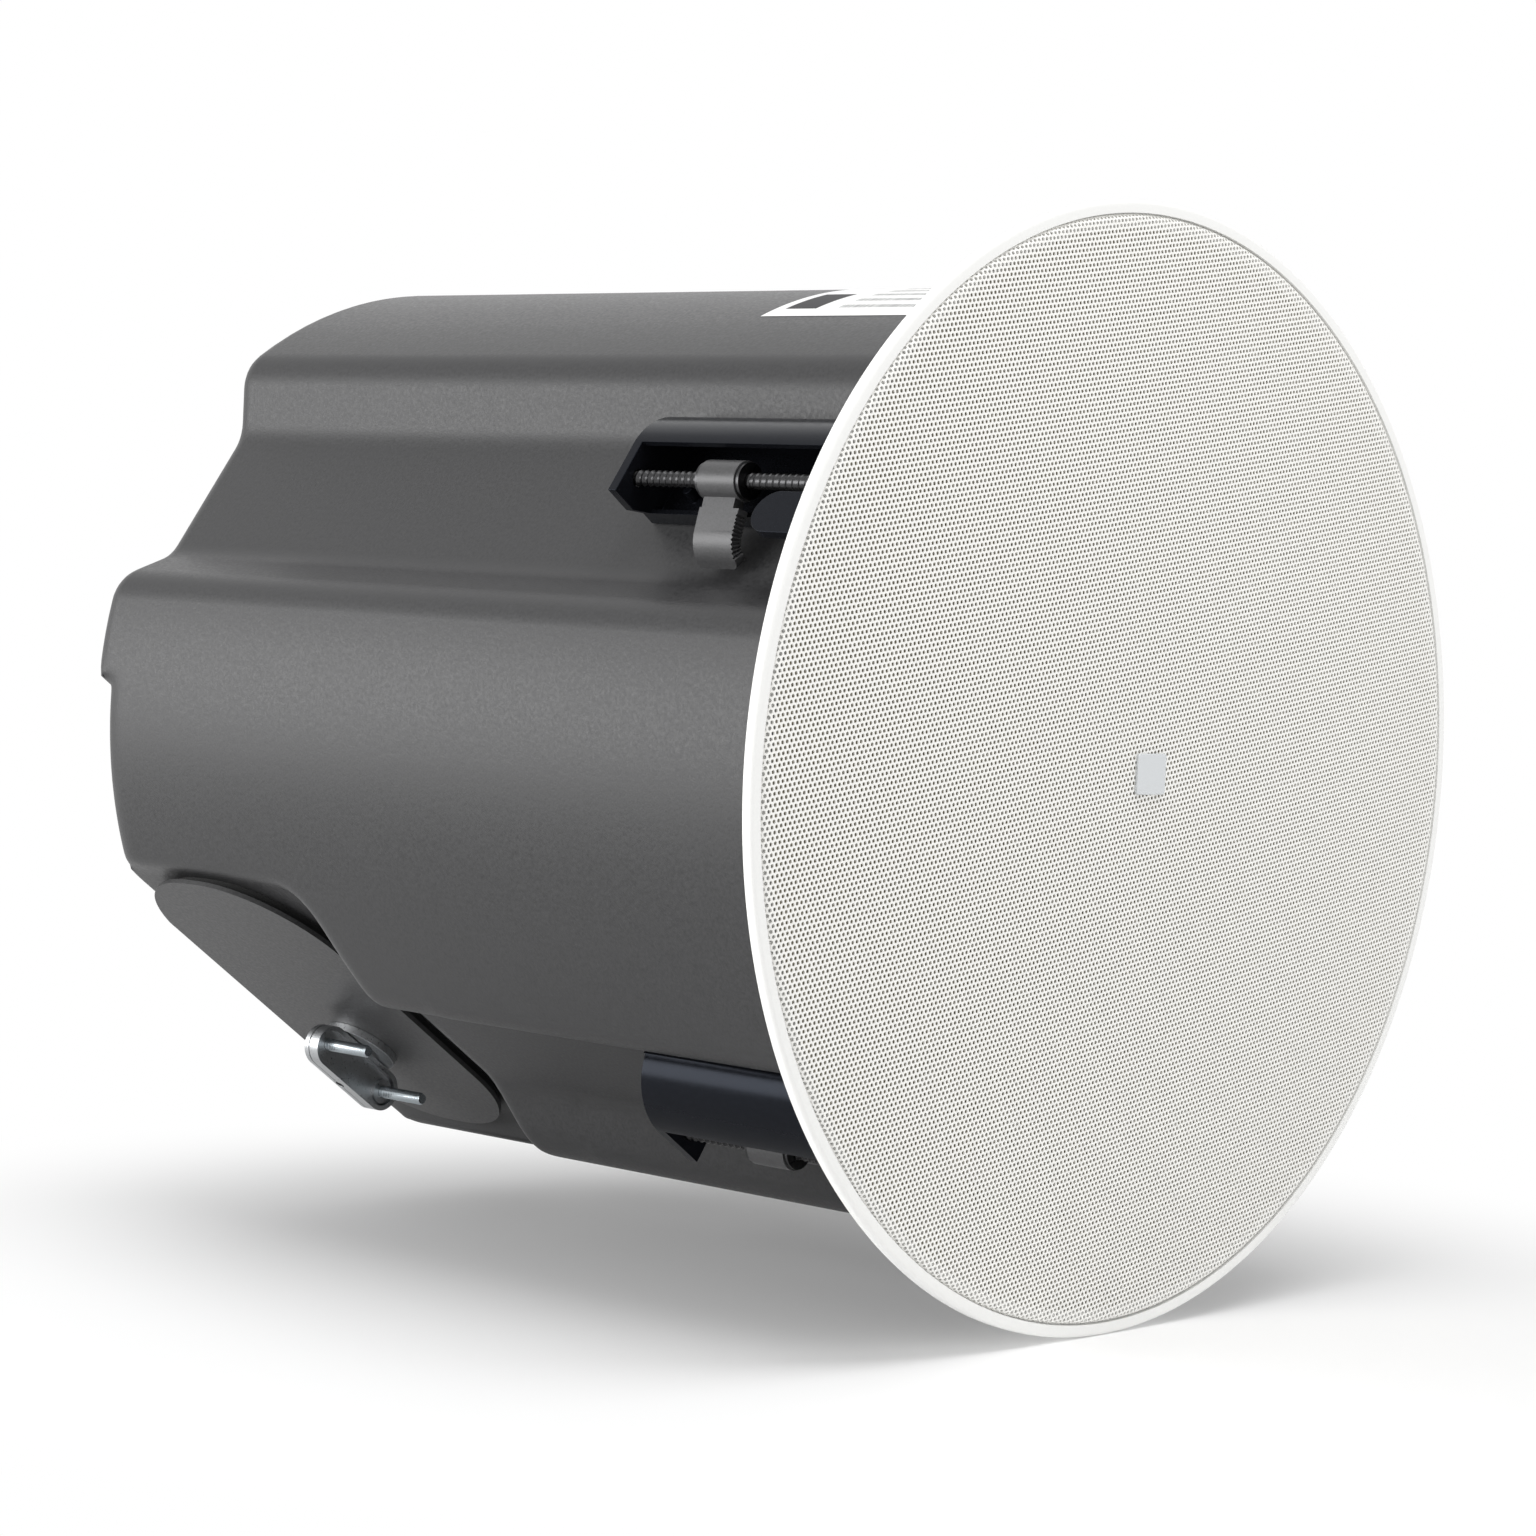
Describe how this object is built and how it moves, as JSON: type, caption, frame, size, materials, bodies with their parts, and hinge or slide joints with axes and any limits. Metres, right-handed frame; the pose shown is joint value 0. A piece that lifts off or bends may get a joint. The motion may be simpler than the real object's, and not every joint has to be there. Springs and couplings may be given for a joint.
{
  "type": "ceiling loudspeaker",
  "caption": "Round in-ceiling loudspeaker with a domed perforated grille, a lobed steel back can, swing-out screw clamps, and a terminal cover with a cable connector.",
  "frame": {"origin": "on the loudspeaker's axis, in the plane of the flange face that seats against the ceiling", "axes": "+Z along the axis, up into the ceiling, with the grille facing -Z; a clamp lies on +X and the terminal cover faces -Y"},
  "size_m": [0.332, 0.332, 0.3167],
  "materials": {
    "white_trim": "smooth, matt white",
    "grille_white": "white powder coat on perforated steel",
    "badge_metal": "satin, bare",
    "cloth": "woven",
    "baffle_black": "matt",
    "can_black": "fine textured powder coat",
    "foam": "closed-cell foam",
    "screw_steel": "black zinc",
    "clamp_plastic": "glossy moulding",
    "clamp_steel": "dark plated",
    "ear_cast": "satin cast",
    "zinc": "die-cast zinc",
    "bright_zinc": "bright zinc plate",
    "inner_plastic": "moulded",
    "plated_steel": "plated",
    "ferrite": "dark grey",
    "copper": "enamelled wire",
    "paper": "pressed paper",
    "rubber": "matt",
    "spider_cloth": "treated cloth",
    "board": "laminate",
    "film": "wrapped film"
  },
  "bodies": {
    "root": {"back_can": "can_black", "baffle": "baffle_black", "bezel_collar": "white_trim", "bezel_ring": "white_trim", "cable_connector": "zinc", "can_gasket": "foam", "can_screws": "screw_steel", "clamp_housing_1": "clamp_plastic", "clamp_housing_2": "clamp_plastic", "clamp_housing_3": "clamp_plastic", "clamp_housing_4": "clamp_plastic", "connector_locknut": "zinc", "connector_saddle": "zinc", "connector_screws": "bright_zinc", "cover_gasket": "foam", "cover_screws": "screw_steel", "crossover_board": "board", "crossover_capacitors": "film", "crossover_coil": "copper", "crossover_standoffs": "inner_plastic", "damping_pads": "cloth", "grille": "grille_white", "grille_badge": "badge_metal", "grille_scrim": "cloth", "tap_switch": "inner_plastic", "terminal_block": "inner_plastic", "terminal_cover": "can_black", "terminal_cup": "inner_plastic", "transformer_bracket": "plated_steel", "transformer_core": "ferrite", "transformer_winding": "copper", "tweeter": "inner_plastic", "tweeter_bridge": "baffle_black", "woofer_basket": "plated_steel", "woofer_magnet": "ferrite", "woofer_pole_piece": "plated_steel", "woofer_screws": "screw_steel", "woofer_spider": "spider_cloth", "woofer_surround": "rubber", "woofer_top_plate": "plated_steel"},
    "screw_1": {"clamp_screw_1": "clamp_steel"},
    "nut_1": {"clamp_nut_1": "clamp_steel"},
    "ear_1": {"clamp_ear_1": "ear_cast"},
    "screw_2": {"clamp_screw_2": "clamp_steel"},
    "nut_2": {"clamp_nut_2": "clamp_steel"},
    "ear_2": {"clamp_ear_2": "ear_cast"},
    "screw_3": {"clamp_screw_3": "clamp_steel"},
    "nut_3": {"clamp_nut_3": "clamp_steel"},
    "ear_3": {"clamp_ear_3": "ear_cast"},
    "screw_4": {"clamp_screw_4": "clamp_steel"},
    "nut_4": {"clamp_nut_4": "clamp_steel"},
    "ear_4": {"clamp_ear_4": "ear_cast"},
    "cone": {"voice_coil": "copper", "woofer_cone": "paper", "dust_cap": "paper"},
    "knob": {"tap_knob": "inner_plastic"}
  },
  "joints": [
    {"name": "screw_1_turn", "type": "hinge", "parent": "root", "child": "screw_1", "pos_m": [0.1375, 0, 0], "axis": [0, 0, 1], "range_deg": [-3910, 6010]},
    {"name": "nut_1_travel", "type": "slide", "parent": "root", "child": "nut_1", "axis": [0, 0, 1], "range_m": [-0.04, 0.026]},
    {"name": "ear_1_swing", "type": "hinge", "parent": "nut_1", "child": "ear_1", "pos_m": [0.1375, 0, 0], "axis": [0, 0, 1], "range_deg": [0, 108]},
    {"name": "screw_2_turn", "type": "hinge", "parent": "root", "child": "screw_2", "pos_m": [0, 0.1375, 0], "axis": [0, 0, 1], "range_deg": [-3910, 6010]},
    {"name": "nut_2_travel", "type": "slide", "parent": "root", "child": "nut_2", "axis": [0, 0, 1], "range_m": [-0.04, 0.026]},
    {"name": "ear_2_swing", "type": "hinge", "parent": "nut_2", "child": "ear_2", "pos_m": [0, 0.1375, 0], "axis": [0, 0, 1], "range_deg": [0, 108]},
    {"name": "screw_3_turn", "type": "hinge", "parent": "root", "child": "screw_3", "pos_m": [-0.1375, 0, 0], "axis": [0, 0, 1], "range_deg": [-3910, 6010]},
    {"name": "nut_3_travel", "type": "slide", "parent": "root", "child": "nut_3", "axis": [0, 0, 1], "range_m": [-0.04, 0.026]},
    {"name": "ear_3_swing", "type": "hinge", "parent": "nut_3", "child": "ear_3", "pos_m": [-0.1375, 0, 0], "axis": [0, 0, 1], "range_deg": [0, 108]},
    {"name": "screw_4_turn", "type": "hinge", "parent": "root", "child": "screw_4", "pos_m": [0, -0.1375, 0], "axis": [0, 0, 1], "range_deg": [-3910, 6010]},
    {"name": "nut_4_travel", "type": "slide", "parent": "root", "child": "nut_4", "axis": [0, 0, 1], "range_m": [-0.04, 0.026]},
    {"name": "ear_4_swing", "type": "hinge", "parent": "nut_4", "child": "ear_4", "pos_m": [0, -0.1375, 0], "axis": [0, 0, 1], "range_deg": [0, 108]},
    {"name": "cone_stroke", "type": "slide", "parent": "root", "child": "cone", "axis": [0, 0, 1], "range_m": [-0.005, 0.005], "stiffness_N_per_m": 2000, "deforming": ["woofer_surround", "woofer_spider"]},
    {"name": "tap_knob_turn", "type": "hinge", "parent": "root", "child": "knob", "pos_m": [0.07778, 0.07778, -0.002], "axis": [0, 0, 1], "range_deg": [-120, 120]}
  ],
  "couplings": [
    {"joint": "screw_1_turn", "follows": "nut_1_travel", "rad_per_m": -2618},
    {"joint": "screw_2_turn", "follows": "nut_2_travel", "rad_per_m": -2618},
    {"joint": "screw_3_turn", "follows": "nut_3_travel", "rad_per_m": -2618},
    {"joint": "screw_4_turn", "follows": "nut_4_travel", "rad_per_m": -2618}
  ]
}
